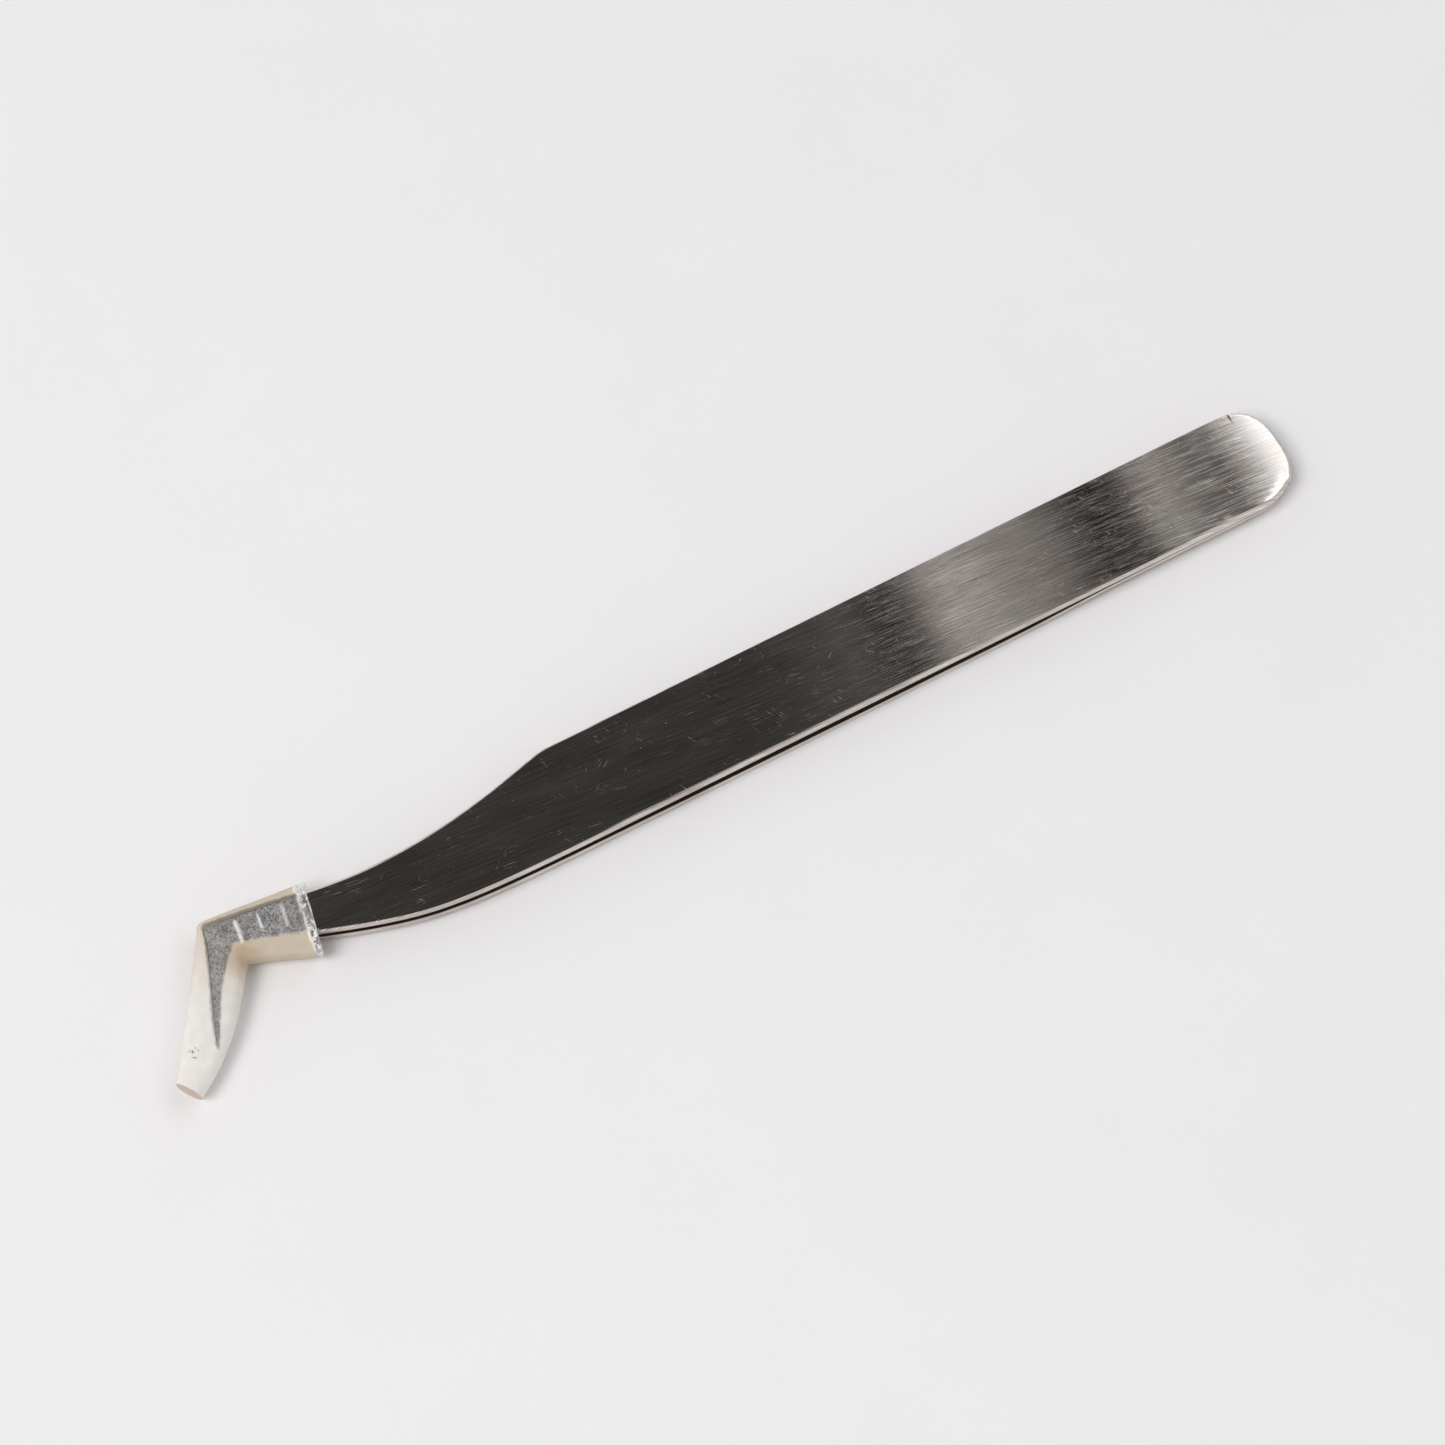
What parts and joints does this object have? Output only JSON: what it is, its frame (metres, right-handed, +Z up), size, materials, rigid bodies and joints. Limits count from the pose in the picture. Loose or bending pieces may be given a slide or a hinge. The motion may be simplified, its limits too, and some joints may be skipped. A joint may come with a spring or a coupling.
{
  "type": "bent-tip tweezers",
  "caption": "Bent-tip stainless precision tweezers with a flat wide handle, spot-welded tail and a soft tapered cap over the hooked tips.",
  "frame": {"origin": "on the surface that the tweezers lie on, under the middle of the whole part's box", "axes": "+X along the handle towards the tail, +Z up off the surface, in the direction that the upper leaf opens; the hooked tips point to -Y"},
  "size_m": [0.1288, 0.0164, 0.0041],
  "materials": {
    "leaf_steel": "lengthwise brushed stainless steel, worn",
    "weld_steel": "fused weld metal",
    "cap_vinyl": "translucent cream soft vinyl"
  },
  "bodies": {
    "lower_leaf": {"lower_leaf": "leaf_steel", "upper_leaf_root": "leaf_steel", "rear_weld_nugget": "weld_steel", "front_weld_nugget": "weld_steel"},
    "upper_leaf": {"upper_leaf": "leaf_steel"},
    "tip_cap": {"tip_cap": "cap_vinyl"}
  },
  "joints": [
    {"name": "leaf_spring", "type": "hinge", "parent": "lower_leaf", "child": "upper_leaf", "pos_m": [0.03935, 0.0027, 0.00246], "axis": [0, 1, 0], "range_deg": [0, 5.5], "stiffness_Nm_per_rad": 0.6, "springref_deg": 5.5, "deforming": ["tip_cap"]},
    {"name": "cap_pull_off", "type": "slide", "parent": "lower_leaf", "child": "tip_cap", "axis": [-1, 0, 0], "range_m": [0, 0.03], "deforming": ["tip_cap"]}
  ]
}
